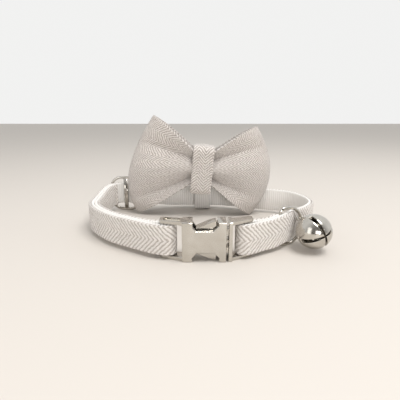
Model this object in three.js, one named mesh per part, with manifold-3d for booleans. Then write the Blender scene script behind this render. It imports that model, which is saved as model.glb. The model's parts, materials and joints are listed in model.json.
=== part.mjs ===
// Small pet collar with a bow tie, built as a three.js scene in millimetres, +Z up.
// The collar stands on its edge, fastened, with the buckle in front (-Y) and the bow at the back.
import * as THREE from "three";
import { mergeVertices } from "three/addons/utils/BufferGeometryUtils.js";
import Module from "manifold-3d";

const solidKit = await Module();
solidKit.setup();

// Driving dimensions of the collar loop
const loopWidth = 94.5;         // centre of the strap, left to right
const loopDepth = 63;           // centre of the strap, front to back
const strapWidth = 10.5;        // 10 mm webbing with its wrapped cloth edges
const webbingThick = 1.0;
const coverThick = 1.0;
const sewnGap = 0.15;           // thread line between cover and webbing
const clearance = 0.3;          // between pieces that touch or slide on each other
const innerLayerRun = 0.915;    // how far the left inner layer reaches towards the slider

// Driving dimensions of the side-release buckle
const bodyLength = 14.4;
const bodyThick = 7.0;
const plateThick = 1.35;        // front and back plates of the body
const armThick = 1.2;           // upper and lower arms that hold the strap bars
const strapBarRadius = 0.75;
const couplingGap = 0.7;        // seam between body and insert
const crossPlateLength = 1.3;   // upright plate of the insert
const leftArmOverhang = 4.3;    // arm beyond the fold of the strap, body side
const rightArmOverhang = 3.9;   // the same on the insert
const leftFoldGap = 1.9;        // from the body to the fold of the strap
const rightFoldGap = 1.2;       // from the insert's plate to its fold
const armCorner = 0.7;
const grooveRim = 0.6;          // metal left round the groove in the body's upper arm
const edgeBevel = 0.22;

// Driving dimensions of the slider, the D-ring and the bell
const sliderLength = 16.2;
const sliderHeight = 17.4;
const sliderRail = 1.2;
const weaveEase = 0.1;          // extra room where the strap bends over the centre bar
const dRingWire = 1.2;
const dRingReach = 9.2;         // bar centre to the far side of the bow of the D, centre lines
const dRingHalfHeight = 6.85;
const dRingCorner = 1.6;
const dRingStandOut = 4.18;     // its far side from its bar, measured square to the strap
const bellRadius = 6.15;
const bellWall = 0.8;
const bellSlit = 1.8;           // width at the ends of the crossed slits
const bellSlitMouth = 0.6;      // width where they cross
const bellSlitReach = 0.86;     // how far they run from the mouth to the middle of the ball
const bellEyeWire = 0.7;
const bellEyeSlack = 0.25;      // the eye's play round the D-ring, beyond the usual clearance
const bellEyeSeat = 0.3;        // how far the eye's wire is sunk in the ball
const bellFloorGap = 1.1;
const bellBearing = THREE.MathUtils.degToRad(-70);   // from its eye, seen from above
const pelletRadius = 2.0;

// Driving dimensions of the bow
const bowWidth = 70;
const bowHeight = 48.6;
const bowWall = 1.2;
const bowFullness = 5.0;        // half of the greatest front-to-back thickness
const pinchHeight = 17.2;       // height of the gathered middle
const pinchThick = 3.7;         // half thickness of the gathered middle
const knotWidth = 9.6;
const knotWall = 1.3;
const knotHeadroom = 1.3;       // between the gathered middle and the knot, above and below
const knotCorner = 3;
const bowTilt = THREE.MathUtils.degToRad(5);    // right wing down
const bowTurn = THREE.MathUtils.degToRad(-2);   // left wing back
const keeperWidth = 8;
const keeperWall = 0.9;
const keeperCorner = 1.6;
const keeperTop = 17;           // height that the elastic keeper reaches behind the knot

// Sizes that follow from the driving dimensions
const strapThick = webbingThick + sewnGap + coverThick;
const strapLift = armThick + clearance;
const strapTop = strapLift + strapWidth;
const bodyHeight = strapWidth + 2 * (clearance + armThick);
const foldRadius = strapBarRadius + clearance + strapThick / 2;
const layerStep = strapThick + clearance;
const loopHalf = { x: loopWidth / 2, y: loopDepth / 2 };

// How far the slider and the D-ring hold the strap up: it lies in the middle of their height
const sliderLift = (sliderHeight - strapWidth) / 2 - strapLift;
const dRingLift = dRingHalfHeight + (dRingWire - strapWidth) / 2 - strapLift;

const finishes = {
  webbing: { color: 0xe9e6e0, roughness: 0.85, metalness: 0 },
  herringbone: { color: 0xd9d4cb, roughness: 0.95, metalness: 0 },
  bowCloth: { color: 0xc9bfb4, roughness: 0.95, metalness: 0 },
  elastic: { color: 0xe4dfd8, roughness: 0.9, metalness: 0 },
  nickel: { color: 0xc8c4bd, roughness: 0.22, metalness: 1 },
};

const part = new THREE.Group();

function addPiece(name, geometry, finish, parent = part) {
  const mesh = new THREE.Mesh(geometry, new THREE.MeshStandardMaterial(finishes[finish]));
  mesh.name = name;
  parent.add(mesh);
  return mesh;
}

// A geometry as a manifold-3d solid, and back again
function toSolid(geometry) {
  const bare = geometry.clone();
  bare.deleteAttribute("normal");
  bare.deleteAttribute("uv");
  const merged = mergeVertices(bare, 1e-5);
  return new solidKit.Manifold(new solidKit.Mesh({
    numProp: 3,
    vertProperties: new Float32Array(merged.attributes.position.array),
    triVerts: new Uint32Array(merged.index.array),
  }));
}

function toGeometry(solid) {
  const mesh = solid.getMesh();
  const geometry = new THREE.BufferGeometry();
  geometry.setAttribute("position", new THREE.BufferAttribute(mesh.vertProperties, 3));
  geometry.setIndex(new THREE.BufferAttribute(mesh.triVerts, 1));
  geometry.computeVertexNormals();
  return geometry;
}

function shapeOf(points) {
  return new THREE.Shape(points.map(([x, y]) => new THREE.Vector2(x, y)));
}

// A flat outline raised along Z, from low to high, with an optional bevel kept inside both limits
function raised(shape, low, high, bevel = 0, bevelSegments = 1, curveSegments = 8) {
  const geometry = new THREE.ExtrudeGeometry(shape, {
    depth: high - low - 2 * bevel,
    bevelEnabled: bevel > 0,
    bevelThickness: bevel,
    bevelSize: bevel,
    bevelOffset: -bevel,
    bevelSegments,
    curveSegments,
    steps: 1,
  });
  return geometry.translate(0, 0, low + bevel);
}

// Turns an outline drawn as X and height into a solid that runs from front to back
function upright(geometry, back) {
  return geometry.rotateX(Math.PI / 2).translate(0, back, 0);
}

function block(x, y, z) {
  const size = [x[1] - x[0], y[1] - y[0], z[1] - z[0]];
  const geometry = new THREE.BoxGeometry(...size);
  return geometry.translate((x[0] + x[1]) / 2, (y[0] + y[1]) / 2, (z[0] + z[1]) / 2);
}

// Closed grid of points: rows run round one way, each row is a closed ring the other way
function closedGrid(rows, columns, pointAt) {
  const positions = [];
  const faces = [];
  for (let row = 0; row < rows; row++) {
    for (let column = 0; column < columns; column++) {
      positions.push(...pointAt(row / rows, column));
      const nextRow = ((row + 1) % rows) * columns;
      const nextColumn = (column + 1) % columns;
      const here = row * columns + column;
      const right = row * columns + nextColumn;
      const up = nextRow + column;
      const across = nextRow + nextColumn;
      faces.push(here, across, right, here, up, across);
    }
  }
  const geometry = new THREE.BufferGeometry();
  geometry.setAttribute("position", new THREE.Float32BufferAttribute(positions, 3));
  geometry.setIndex(faces);
  geometry.computeVertexNormals();
  return geometry;
}

// Buckle frame: the body's left face, front face and the two strap bars, seen from above
const bodyLeft = -0.062 * loopWidth;
const bodyRight = bodyLeft + bodyLength;
const buckleBack = -0.434 * loopDepth;
const buckleFront = buckleBack - bodyThick;
const armFront = buckleFront + 0.12 * bodyThick;

const leftArm = {
  lean: THREE.MathUtils.degToRad(17),
  length: foldRadius + strapThick / 2 + leftArmOverhang,
  root: bodyLeft,
  side: -1,
  grooved: true,
};
const insertLeft = bodyRight + couplingGap;
const insertPlateRight = insertLeft + crossPlateLength;
const rightArm = {
  lean: THREE.MathUtils.degToRad(26),
  length: foldRadius + strapThick / 2 + rightArmOverhang,
  root: insertPlateRight,
  side: 1,
  grooved: false,
};

const foldReach = foldRadius + strapThick / 2;
function strapBarOf(arm, foldGap) {
  const outward = foldGap + foldReach;
  return {
    x: arm.root + arm.side * outward,
    y: armFront + 0.44 * bodyThick + outward * Math.tan(arm.lean) * 0.5,
  };
}
const leftBar = strapBarOf(leftArm, leftFoldGap);
const rightBar = strapBarOf(rightArm, rightFoldGap);

// Slider frame: its centre bar stands just inside the strap, at the left rear
const slider = {
  x: -0.798 * loopHalf.x,
  y: 0.863 * loopHalf.y,
  turn: THREE.MathUtils.degToRad(-5),
};
slider.along = [Math.cos(slider.turn), Math.sin(slider.turn)];
slider.outward = [-slider.along[1], slider.along[0]];
const sliderEnd = (sliderLength - sliderRail) / 2;
const weave = sliderRail / 2 + clearance + strapThick / 2;

function sliderPoint(along, outward) {
  return [
    slider.x + slider.along[0] * along + slider.outward[0] * outward,
    slider.y + slider.along[1] * along + slider.outward[1] * outward,
  ];
}

function foldPoint(bar, arm) {
  const angle = arm.lean;
  return [
    bar.x + arm.side * foldRadius * Math.sin(angle),
    bar.y - foldRadius * Math.cos(angle),
  ];
}

// Route of the outer layer, from the body's bar round the neck to the insert's bar.
// Columns at the front: share of the way from the fold to the side of the loop, then share of
// half the loop's depth. Columns elsewhere: shares of half the loop's width and depth.
const leftFrontRoute = [
  [0.1416, -0.945],
  [0.3602, -0.8],
  [0.612, -0.603],
  [0.8265, -0.337],
  [0.931, -0.12],
];
const leftRoute = [
  [-0.979, 0.143],
  [-0.98, 0.413],
  [-0.972, 0.62],
  [-0.958, 0.74],
];
const rearRoute = [
  [-0.515, 0.91],
  [-0.34, 0.985],
  [0, 1.003],
  [0.212, 0.967],
  [0.392, 0.886],
  [0.635, 0.737],
  [0.805, 0.655],
  [0.9, 0.565],
  [0.965, 0.4],
  [1.0, 0.175],
];
const rightFrontRoute = [
  [0.9774, -0.045],
  [0.8343, -0.27],
  [0.6913, -0.412],
  [0.601, -0.51],
  [0.5303, -0.61],
  [0.4551, -0.706],
  [0.3451, -0.792],
  [0.2094, -0.868],
];

const leftFold = foldPoint(leftBar, leftArm);
const rightFold = foldPoint(rightBar, rightArm);

function frontPoint(fold, side, [share, along]) {
  return [THREE.MathUtils.lerp(fold[0], side * loopHalf.x, share), along * loopHalf.y];
}

// The strap leaves each fold in line with the buckle's arms
function foldLead(fold, arm) {
  const lead = 0.7 * foldRadius;
  return [
    fold[0] + arm.side * lead * Math.cos(arm.lean),
    fold[1] + lead * Math.sin(arm.lean),
  ];
}

function routePoints() {
  const scaled = ([across, along]) => [across * loopHalf.x, along * loopHalf.y];
  return [
    leftFold,
    foldLead(leftFold, leftArm),
    ...leftFrontRoute.map((row) => frontPoint(leftFold, -1, row)),
    ...leftRoute.map(scaled),
    sliderPoint(0.1 * sliderLength - sliderEnd, -weave),
    sliderPoint(0, weave + weaveEase),
    sliderPoint(sliderEnd, -weave - 2 * weaveEase),
    ...rearRoute.map(scaled),
    ...rightFrontRoute.map((row) => frontPoint(rightFold, 1, row)),
    foldLead(rightFold, rightArm),
    rightFold,
  ];
}

// Even stations along the outer layer, each with its inward side
const stationStep = 2.4;
const outerCurve = new THREE.CatmullRomCurve3(
  routePoints().map(([x, y]) => new THREE.Vector3(x, y, 0)), false, "centripetal");
outerCurve.arcLengthDivisions = 1200;
const outerLength = outerCurve.getLength();

function outerStation(share) {
  const at = outerCurve.getPointAt(share);
  const tangent = outerCurve.getTangentAt(share);
  return { x: at.x, y: at.y, tx: tangent.x, ty: tangent.y, inX: tangent.y, inY: -tangent.x };
}

function stationNearest(x, y) {
  let best = { gap: Infinity, share: 0 };
  for (let step = 0; step <= 900; step++) {
    const share = step / 900;
    const here = outerStation(share);
    const gap = Math.hypot(here.x - x, here.y - y);
    if (gap < best.gap) best = { gap, share };
  }
  return best.share;
}

// Distance of a point from the centre line of the outer layer, seen from above
function strapDistance({ x, y }) {
  const near = outerStation(stationNearest(x, y));
  return Math.hypot(near.x - x, near.y - y);
}

// The D-ring's bar sits behind the outer layer, where the right inner layer ends
const dRingShare = stationNearest(...frontPoint(rightFold, 1, [0.4608, -0.708]));
const dRingSeat = outerStation(dRingShare);
const dRingInset = strapThick / 2 + clearance + dRingWire / 2;
const dRingBar = {
  x: dRingSeat.x + dRingSeat.inX * dRingInset,
  y: dRingSeat.y + dRingSeat.inY * dRingInset,
};
const sliderShare = stationNearest(...sliderPoint(0, weave));

// Gap between the two layers: wide at a strap bar, closed a little further on
function layerSpacing(distance) {
  const settle = 5 * foldRadius;
  const share = THREE.MathUtils.smoothstep(distance, 0, settle);
  return THREE.MathUtils.lerp(2 * foldRadius, layerStep, share);
}

// Shares of the outer layer's length between two of them, closer together near the slider
function sharesBetween(from, to) {
  const shares = [from];
  const step = stationStep / outerLength;
  let here = from + step;
  while (here < to - 0.6 * step) {
    shares.push(here);
    const nearSlider = Math.abs(here - sliderShare) * outerLength < 0.75 * sliderLength;
    here += nearSlider ? 0.45 * step : step;
  }
  return [...shares, to];
}

function innerRun(fromShare, toShare, distanceOf) {
  const run = [];
  for (const share of sharesBetween(fromShare, toShare)) {
    const here = outerStation(share);
    const spacing = layerSpacing(distanceOf(share) * outerLength);
    run.push([here.x + here.inX * spacing, here.y + here.inY * spacing]);
  }
  return run;
}

function halfTurn(bar, from, turnSign) {
  const start = Math.atan2(from[1] - bar.y, from[0] - bar.x);
  const steps = 9;
  const turn = [];
  for (let step = 1; step < steps; step++) {
    const angle = start + turnSign * Math.PI * step / steps;
    turn.push([bar.x + foldRadius * Math.cos(angle), bar.y + foldRadius * Math.sin(angle)]);
  }
  return turn;
}

// The whole ribbon: left inner layer, fold, outer layer, fold, right inner layer
function ribbonRoute() {
  const outer = sharesBetween(0, 1).map(outerStation).map(({ x, y }) => [x, y]);
  const leftEnd = sliderShare * innerLayerRun;
  const rightEnd = dRingShare + (dRingWire / 2 + 4 * clearance) / outerLength;
  const leftInner = innerRun(0, leftEnd, (share) => share).reverse();
  const rightInner = innerRun(rightEnd, 1, (share) => 1 - share).reverse();
  const start = leftInner[leftInner.length - 1];
  return [
    ...leftInner,
    ...halfTurn(leftBar, start, -1),
    ...outer,
    ...halfTurn(rightBar, outer[outer.length - 1], -1),
    ...rightInner,
  ];
}

// Outline of one band of the ribbon, between two offsets from its centre line
function bandOutline(route, near, far) {
  const sides = { near: [], far: [] };
  route.forEach(([x, y], index) => {
    const before = route[Math.max(index - 1, 0)];
    const after = route[Math.min(index + 1, route.length - 1)];
    const length = Math.hypot(after[0] - before[0], after[1] - before[1]);
    const outX = -(after[1] - before[1]) / length;
    const outY = (after[0] - before[0]) / length;
    sides.near.push([x + outX * near, y + outY * near]);
    sides.far.push([x + outX * far, y + outY * far]);
  });
  return shapeOf([...sides.far, ...sides.near.reverse()]);
}

// The strap rides a little higher where the slider and the D-ring pass under it
function liftStrap(geometry) {
  const ringMiddle = {
    x: dRingBar.x + 0.4 * dRingReach * Math.cos(dRingHeading),
    y: dRingBar.y + 0.4 * dRingReach * Math.sin(dRingHeading),
  };
  const places = [
    { ...slider, lift: sliderLift, near: 0.5 * sliderLength, far: 1.5 * sliderLength },
    { ...ringMiddle, lift: dRingLift, near: 0.5 * dRingReach, far: 1.2 * dRingReach },
  ];
  const points = geometry.attributes.position;
  for (let index = 0; index < points.count; index++) {
    for (const place of places) {
      const away = Math.hypot(points.getX(index) - place.x, points.getY(index) - place.y);
      const share = 1 - THREE.MathUtils.smoothstep(away, place.near, place.far);
      points.setZ(index, points.getZ(index) + share * place.lift);
    }
  }
  return geometry;
}

function addStrap() {
  const route = ribbonRoute();
  const half = strapThick / 2;
  const webbing = bandOutline(route, -half, -half + webbingThick);
  const cover = bandOutline(route, half - coverThick, half);
  addPiece("strap_webbing", liftStrap(raised(webbing, strapLift, strapTop)), "webbing");
  addPiece("strap_cover", liftStrap(raised(cover, strapLift, strapTop)), "herringbone");
}

// H-shaped front of the body. Columns: share of the body's length, share of its height.
const topNotch = [
  [0.236, 1.02],
  [0.243, 0.88],
  [0.313, 0.79],
  [0.7, 0.79],
  [0.825, 0.93],
  [0.812, 1.02],
];
const bottomNotch = [
  [0.229, -0.02],
  [0.229, 0.105],
  [0.333, 0.225],
  [0.729, 0.225],
  [0.84, 0.105],
  [0.84, -0.02],
];

function onBody([along, up]) {
  return [bodyLeft + along * bodyLength, up * bodyHeight];
}

function bodyBlock() {
  const outline = [
    [0, 0],
    ...bottomNotch.map(([along, up]) => [along, Math.max(up, 0)]),
    [1, 0],
    [1, 1],
    ...topNotch.map(([along, up]) => [along, Math.min(up, 1)]).reverse(),
    [0, 1],
  ].map(onBody);
  return toSolid(upright(raised(shapeOf(outline), 0, bodyThick, edgeBevel), buckleBack));
}

// One pair of arms with the strap bar between them, leaning back along the strap
function armPair(arm, bar) {
  const lip = 0.09 * bodyThick;
  const rootFront = armFront;
  const rootBack = buckleBack - 0.2 * bodyThick;
  const back = arm.length * Math.tan(arm.lean);
  const outer = arm.root + arm.side * arm.length;
  const inner = arm.root - arm.side * 0.4 * crossPlateLength;
  const outline = [
    [inner, rootFront],
    [outer - arm.side * armCorner, rootFront + back],
    [outer, rootFront + back + armCorner],
    [outer, rootBack + 0.72 * back - armCorner],
    [outer - arm.side * armCorner, rootBack + 0.72 * back],
    [inner, rootBack],
  ];
  if (arm.side < 0) outline.reverse();
  const arms = [[0, armThick], [bodyHeight - armThick, bodyHeight]]
    .map(([low, high]) => toSolid(raised(shapeOf(outline), low, high, edgeBevel / 2)));
  const post = new THREE.CylinderGeometry(strapBarRadius, strapBarRadius, bodyHeight - armThick, 16)
    .rotateX(Math.PI / 2)
    .translate(bar.x, bar.y, bodyHeight / 2);
  const grooveEnd = outer - arm.side * 2.2 * grooveRim;
  const groove = [
    [arm.root + arm.side * grooveRim, rootFront + lip + 0.5 * grooveRim],
    [grooveEnd, rootFront + back + lip],
    [grooveEnd, rootBack + 0.72 * back - lip - 0.5 * grooveRim],
    [arm.root + arm.side * grooveRim, rootBack - lip],
  ];
  if (arm.side < 0) groove.reverse();
  const cut = toSolid(raised(shapeOf(groove), bodyHeight - 0.45 * armThick, bodyHeight + armThick));
  const pair = arms[0].add(arms[1]).add(toSolid(post));
  return arm.grooved ? pair.subtract(cut) : pair;
}

const channelFront = buckleFront + plateThick;
const channelBack = buckleBack - plateThick;
const channelLow = 0.1 * bodyHeight;
const channelHigh = 0.9 * bodyHeight;

function addBuckleBody() {
  const channel = block(
    [bodyLeft + 0.1 * bodyLength, bodyRight + couplingGap],
    [channelFront, channelBack],
    [channelLow, channelHigh]);
  const body = bodyBlock().add(armPair(leftArm, leftBar)).subtract(toSolid(channel));
  addPiece("buckle_body", toGeometry(body), "nickel");
}

// Spring finger of the insert with its press tab.
// Columns: share of the body's length, height above the body's middle as a share of half its height.
const fingerOutline = [
  [1.06, 0.3],
  [1.06, 0.62],
  [0.84, 0.7],
  [0.785, 0.74],
  [0.765, 1.02],
  [0.68, 0.99],
  [0.32, 0.66],
  [0.3, 0.5],
  [0.34, 0.42],
  [0.7, 0.42],
];

function finger(flip) {
  const middle = bodyHeight / 2;
  const outline = fingerOutline.map(([along, up]) => [
    bodyLeft + along * bodyLength,
    middle + flip * up * middle * (flip < 0 ? 0.975 : 1),
  ]);
  if (flip > 0) outline.reverse();
  const depth = channelBack - channelFront - 2 * clearance;
  return toSolid(upright(raised(shapeOf(outline), 0, depth, edgeBevel / 2), channelBack - clearance));
}

function addBuckleInsert() {
  const plate = raised(
    shapeOf([[insertLeft, 0], [insertPlateRight, 0], [insertPlateRight, bodyHeight],
      [insertLeft, bodyHeight]]),
    0, bodyThick - 2 * clearance, edgeBevel);
  const tongue = block(
    [bodyLeft + 0.3 * bodyLength, insertLeft + 0.3 * crossPlateLength],
    [channelFront + clearance, channelBack - clearance],
    [0.47 * bodyHeight, 0.53 * bodyHeight]);
  const insert = toSolid(upright(plate, buckleBack - clearance))
    .add(finger(1))
    .add(finger(-1))
    .add(toSolid(tongue))
    .add(armPair(rightArm, rightBar));
  addPiece("buckle_insert", toGeometry(insert), "nickel");
}

// Round-cornered frame with one or two windows, bevelled so that its rails are nearly round
function framePath(path, halfLength, halfHeight, radius) {
  const x = halfLength - radius;
  const y = halfHeight - radius;
  path.absarc(x, y, radius, 0, Math.PI / 2, false);
  path.absarc(-x, y, radius, Math.PI / 2, Math.PI, false);
  path.absarc(-x, -y, radius, Math.PI, 1.5 * Math.PI, false);
  path.absarc(x, -y, radius, 1.5 * Math.PI, 2 * Math.PI, false);
  path.closePath();
  return path;
}

function addSlider() {
  const half = { length: sliderLength / 2, height: sliderHeight / 2 };
  const headroom = half.height - sliderRail - strapWidth / 2;
  const radius = Math.min(2.75 * headroom, 0.9 * half.length);
  const frame = framePath(new THREE.Shape(), half.length, half.height, radius);
  frame.holes.push(framePath(
    new THREE.Path(), half.length - sliderRail, half.height - sliderRail, radius - sliderRail));
  const ring = toSolid(raised(frame, -sliderRail / 2, sliderRail / 2, 0.3 * sliderRail, 1, 6));
  const barLength = 2 * half.height - sliderRail;
  const bar = new THREE.BoxGeometry(sliderRail, barLength, sliderRail * 0.92);
  const geometry = toGeometry(ring.add(toSolid(bar)));
  const mesh = addPiece("slider", geometry, "nickel");
  mesh.rotation.set(Math.PI / 2, 0, 0);
  const holder = new THREE.Group();
  holder.position.set(slider.x, slider.y, half.height);
  holder.rotation.z = slider.turn;
  holder.add(mesh);
  part.add(holder);
}

// D-ring: a straight bar and a bow, standing upright and swung over to the right
const dRingLean = Math.asin(dRingStandOut / dRingReach);
const dRingHeading = Math.atan2(-dRingSeat.ty, -dRingSeat.tx) - dRingLean;
const dRingMiddle = dRingHalfHeight + dRingWire / 2;

const dRingShoulder = 0.42 * dRingReach;   // where the legs go over into the bow of the D

function dPath(path, grow) {
  const corner = dRingCorner + grow;
  const top = dRingHalfHeight + grow;
  const bow = dRingReach - dRingShoulder + grow;
  path.absarc(-grow + corner, -top + corner, corner, Math.PI, 1.5 * Math.PI, false);
  path.absellipse(dRingShoulder, 0, bow, top, -Math.PI / 2, Math.PI / 2, false, 0);
  path.absarc(-grow + corner, top - corner, corner, Math.PI / 2, Math.PI, false);
  path.closePath();
  return path;
}

const dRingHolder = new THREE.Group();
dRingHolder.position.set(dRingBar.x, dRingBar.y, dRingMiddle);
dRingHolder.rotation.z = dRingHeading;
part.add(dRingHolder);

function addDRing() {
  const half = dRingWire / 2;
  const shape = dPath(new THREE.Shape(), half);
  shape.holes.push(dPath(new THREE.Path(), -half));
  const geometry = raised(shape, -half, half, 0.3 * dRingWire, 1, 9);
  addPiece("d_ring", toGeometry(toSolid(geometry.rotateX(Math.PI / 2))), "nickel", dRingHolder);
}

// Bell: a hollow ball with a crossed slit, held by an eye that closes round the D-ring's bow
const eyeRadius = dRingWire / 2 + clearance + bellEyeSlack + bellEyeWire / 2;
const bellReach = bellRadius + eyeRadius + bellEyeWire / 2 - bellEyeSeat;
const eyeHeight = 0.3 * dRingHalfHeight;

// The ball hangs from its eye towards the front, and swings out where the strap is in its way
function bellPlace() {
  const rise = Math.sqrt(1 - (eyeHeight / dRingHalfHeight) ** 2);
  const eye = new THREE.Vector3(
    dRingShoulder + (dRingReach - dRingShoulder) * rise, 0, eyeHeight);
  eye.applyAxisAngle(new THREE.Vector3(0, 0, 1), dRingHeading);
  eye.add(dRingHolder.position);
  const drop = eye.z - (bellRadius + bellFloorGap);
  const level = Math.sqrt(bellReach ** 2 - drop ** 2);
  const nearest = bellRadius + strapThick / 2 + clearance;
  const centreAt = (bearing) => new THREE.Vector3(
    eye.x + level * Math.cos(bearing), eye.y + level * Math.sin(bearing), eye.z - drop);
  let bearing = bellBearing;
  while (strapDistance(centreAt(bearing)) < nearest && bearing < 0) {
    bearing += THREE.MathUtils.degToRad(0.25);
  }
  return { eye, centre: centreAt(bearing) };
}
const bell = bellPlace();
const bellMouth = new THREE.Vector3(0.29, -0.955, 0.07).normalize();
const bellSlitLine = new THREE.Vector3(-0.4, -0.05, 0.91).projectOnPlane(bellMouth).normalize();

// One slit, narrow at the mouth where the four petals meet and wider towards its two ends
function bellSlitCut(turn) {
  const reach = 1.2 * bellRadius;
  const end = bellSlit / 2;
  const middle = bellSlitMouth / 2;
  const outline = shapeOf([
    [-reach, -end], [0, -middle], [reach, -end],
    [reach, end], [0, middle], [-reach, end],
  ]);
  const low = bellRadius * (1 - bellSlitReach);
  return toSolid(raised(outline, low, 1.2 * bellRadius).rotateZ(turn));
}

function addBell() {
  const ball = toSolid(new THREE.SphereGeometry(bellRadius, 28, 14));
  const hollow = toSolid(new THREE.SphereGeometry(bellRadius - bellWall, 20, 10));
  const shell = ball.subtract(hollow).subtract(bellSlitCut(0)).subtract(bellSlitCut(Math.PI / 2));
  const across = new THREE.Vector3().crossVectors(bellMouth, bellSlitLine);
  const facing = new THREE.Matrix4().makeBasis(bellSlitLine, across, bellMouth);
  const turned = toSolid(toGeometry(shell).applyMatrix4(facing));
  const eye = new THREE.TorusGeometry(eyeRadius, bellEyeWire / 2, 6, 14);
  const offset = bell.eye.clone().sub(bell.centre);
  const up = new THREE.Vector3(0, 0, 1);
  const tilt = up.clone().projectOnPlane(offset.clone().normalize()).normalize();
  eye.applyQuaternion(new THREE.Quaternion().setFromUnitVectors(up, tilt));
  eye.translate(offset.x, offset.y, offset.z);
  const mesh = addPiece("bell", toGeometry(turned.add(toSolid(eye))), "nickel");
  mesh.position.copy(bell.centre);
  const pellet = new THREE.IcosahedronGeometry(pelletRadius, 1);
  const seat = bellRadius - bellWall - pelletRadius - clearance;
  const pelletMesh = addPiece("bell_pellet", toGeometry(toSolid(pellet)), "nickel");
  pelletMesh.position.copy(bell.centre).add(new THREE.Vector3(0.15 * seat, -0.2 * seat, -0.92 * seat));
}

// Bow: one flattened loop of cloth. The wing ends are folds and the middle is gathered.
// Columns: side, then the fold's top tip, greatest reach and bottom tip,
// each as share of half the width and share of half the height.
const wings = {
  left: { top: [-0.703, 0.932], reach: [-1.004, -0.208], bottom: [-0.847, -1.0] },
  right: { top: [0.655, 0.904], reach: [0.912, 0.028], bottom: [0.717, -0.832] },
};
const bowGrid = { around: 60, across: 12 };

// Point on a wing's fold line, for a height share from -1 to 1
function foldLine(wing, height) {
  const half = { x: bowWidth / 2, y: bowHeight / 2 };
  const bend = new THREE.QuadraticBezierCurve(
    new THREE.Vector2(wing.bottom[0] * half.x, wing.bottom[1] * half.y),
    new THREE.Vector2(
      (2 * wing.reach[0] - 0.5 * (wing.top[0] + wing.bottom[0])) * half.x,
      (2 * wing.reach[1] - 0.5 * (wing.top[1] + wing.bottom[1])) * half.y),
    new THREE.Vector2(wing.top[0] * half.x, wing.top[1] * half.y));
  return bend.getPoint((height + 1) / 2);
}

// Half thickness of the bow at a share of the way from knot to fold, and a height share.
// Two valleys run out from the knot and fade half way along the wing.
function bowHalfThick(out, height) {
  const swell = Math.sin(Math.PI * Math.min(1, 0.12 + out * 0.95));
  const belly = THREE.MathUtils.lerp(pinchThick, bowFullness, Math.pow(swell, 0.8));
  const closing = Math.sqrt(Math.max(0, 1 - Math.pow(out, 5)));
  const valley = Math.cos(2.1 * Math.PI * height);
  const fade = Math.pow(1 - out, 1.4);
  const fold = 0.16 * bowFullness * fade * valley;
  const edge = 1 - 0.12 * height * height * out;
  return (belly * edge + fold) * closing;
}

function bowPoint(turn, height, inset) {
  const angle = 2 * Math.PI * turn;
  const wing = Math.cos(angle) < 0 ? wings.left : wings.right;
  const spread = Math.abs(Math.cos(angle));
  const out = Math.pow(spread, 0.9);
  const end = foldLine(wing, height);
  const knotShare = Math.min(1, (knotWidth / 2 + 2 * clearance) / Math.abs(end.x));
  const flare = THREE.MathUtils.smoothstep(out, 0.6 * knotShare, 1.0);
  const opened = THREE.MathUtils.lerp(Math.max(0, (out - knotShare) / (1 - knotShare)), flare, 0.25);
  const across = end.x * out;
  const up = THREE.MathUtils.lerp(height * pinchHeight / 2, end.y, Math.pow(opened, 0.86));
  const side = Math.sin(angle) < 0 ? -1 : 1;
  const thick = bowHalfThick(out, height);
  const wall = Math.min(inset, thick);
  const nearFold = THREE.MathUtils.smoothstep(out, 0.86, 1);
  return [
    across - Math.sign(end.x) * inset * nearFold,
    side * (thick - wall * (1 - nearFold * nearFold)),
    up,
  ];
}

// The bow stands as far back as the strap behind its wings lets it
function bowSeat(middleX) {
  let seat = Infinity;
  for (let step = 0; step <= 400; step++) {
    const here = outerStation(step / 400);
    const across = here.x + here.inX * strapThick / 2 - middleX;
    const wing = across < 0 ? wings.left : wings.right;
    const out = across / (wing.reach[0] * bowWidth / 2);
    if (here.y < 0 || out > 1) continue;
    const face = here.y + here.inY * strapThick / 2;
    seat = Math.min(seat, face - clearance - bowHalfThick(out, 0) - across * Math.sin(bowTurn));
  }
  return seat;
}

const bowHolder = new THREE.Group();
const bowMiddle = { x: 0.0254 * loopHalf.x, z: 0.461 * bowHeight };
bowMiddle.y = bowSeat(bowMiddle.x);
bowHolder.position.set(bowMiddle.x, bowMiddle.y, bowMiddle.z);
bowHolder.rotation.set(0, bowTilt, bowTurn, "ZYX");
part.add(bowHolder);

function addBowLoop() {
  const { around, across } = bowGrid;
  const columns = 2 * (across + 1);
  const geometry = closedGrid(around, columns, (turn, column) => {
    const inside = column > across;
    const step = inside ? columns - 1 - column : column;
    return bowPoint(turn, 2 * step / across - 1, inside ? bowWall : 0);
  });
  addPiece("bow_loop", toGeometry(toSolid(geometry)), "bowCloth", bowHolder);
}

// Knot: a band of the same cloth round the gathered middle, open at its left and right
function ringBand(halfDepth, halfHeight, wall, width, radius, segments) {
  const shape = framePath(new THREE.Shape(), halfDepth, halfHeight, radius);
  shape.holes.push(framePath(new THREE.Path(), halfDepth - wall, halfHeight - wall, radius - wall));
  const geometry = raised(shape, -width / 2, width / 2, 0.15 * wall, 1, segments);
  return geometry.rotateZ(Math.PI / 2).rotateY(Math.PI / 2);
}

const knotEdge = knotWidth / (bowWidth * (wings.right.top[0] - wings.left.top[0]) / 2);
const knotHalf = {
  depth: bowHalfThick(knotEdge, 0) + clearance + knotWall,
  height: pinchHeight / 2 + knotHeadroom + knotWall,
};

function addKnot() {
  const geometry = ringBand(knotHalf.depth, knotHalf.height, knotWall, knotWidth, knotCorner, 5);
  addPiece("bow_knot", toGeometry(toSolid(geometry)), "bowCloth", bowHolder);
}

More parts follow.
